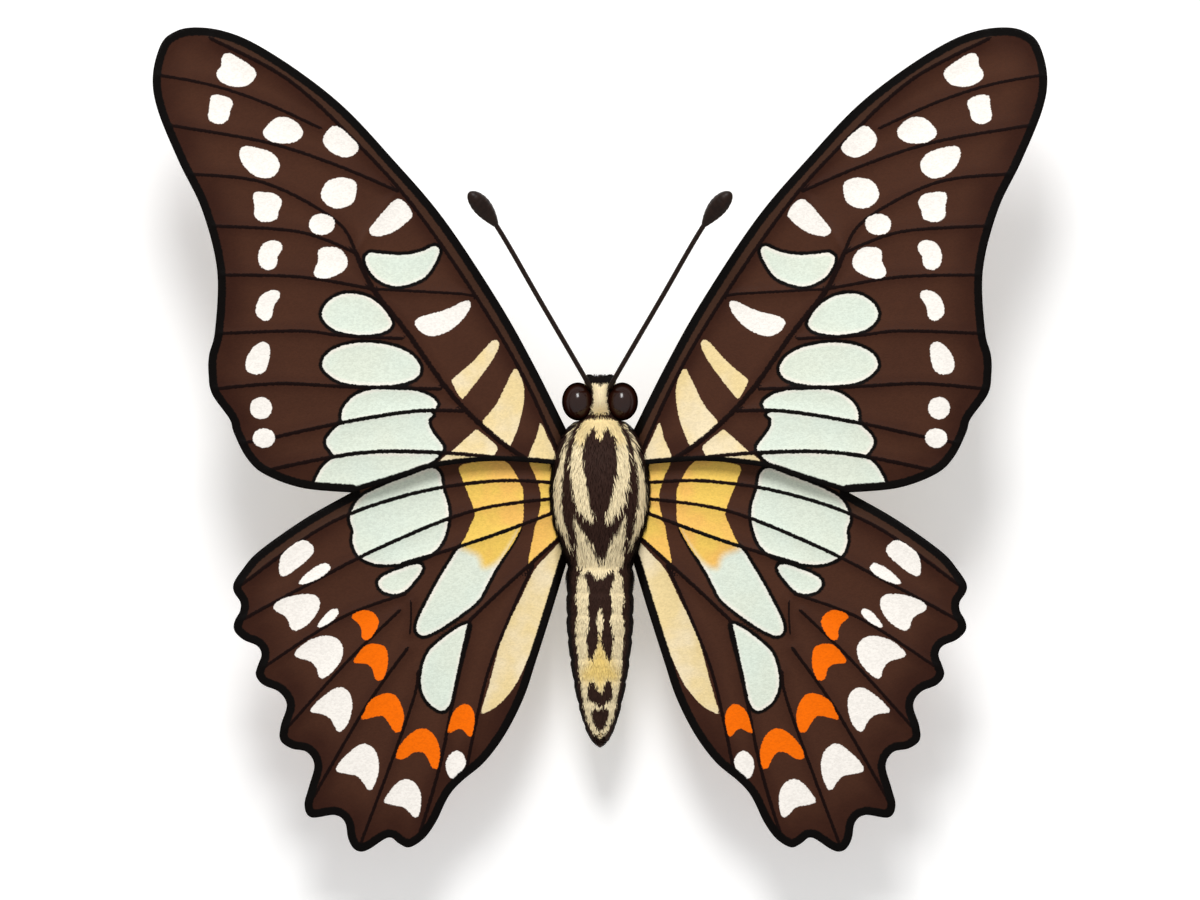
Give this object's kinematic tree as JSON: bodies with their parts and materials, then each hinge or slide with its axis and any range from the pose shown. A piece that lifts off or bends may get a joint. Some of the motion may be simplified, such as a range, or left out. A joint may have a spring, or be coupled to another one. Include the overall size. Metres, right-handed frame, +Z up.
{
  "type": "butterfly",
  "caption": "Life-size brown swallowtail butterfly with pale spotted wings spread flat and scalloped hindwings, standing on six legs.",
  "frame": {"origin": "on the floor under the middle of the box, midway between the wing tips", "axes": "+Z up; +Y towards the head; +X towards the butterfly's right wing, across the span"},
  "size_m": [0.07, 0.0646, 0.0155],
  "materials": {
    "forewing": "brown wing scales with pale green and white spots, dark veins",
    "hindwing": "brown wing scales with pale green, yellow and white patches and orange crescents",
    "body_hair": "dark and cream hair in bands",
    "eye": "dark brown glossy compound eye",
    "cuticle": "dark brown horny cuticle with fine scales"
  },
  "bodies": {
    "root": {"forewing_left": "forewing", "forewing_right": "forewing", "hindwing_left": "hindwing", "hindwing_right": "hindwing", "head": "body_hair", "prothorax": "body_hair", "thorax": "body_hair", "abdomen": "body_hair", "eye_left": "eye", "eye_right": "eye", "antenna_left": "cuticle", "antenna_right": "cuticle", "palp_left": "body_hair", "palp_right": "body_hair", "proboscis": "cuticle", "leg_fore_left": "cuticle", "leg_fore_right": "cuticle", "leg_mid_left": "cuticle", "leg_mid_right": "cuticle", "leg_hind_left": "cuticle", "leg_hind_right": "cuticle"}
  },
  "joints": []
}
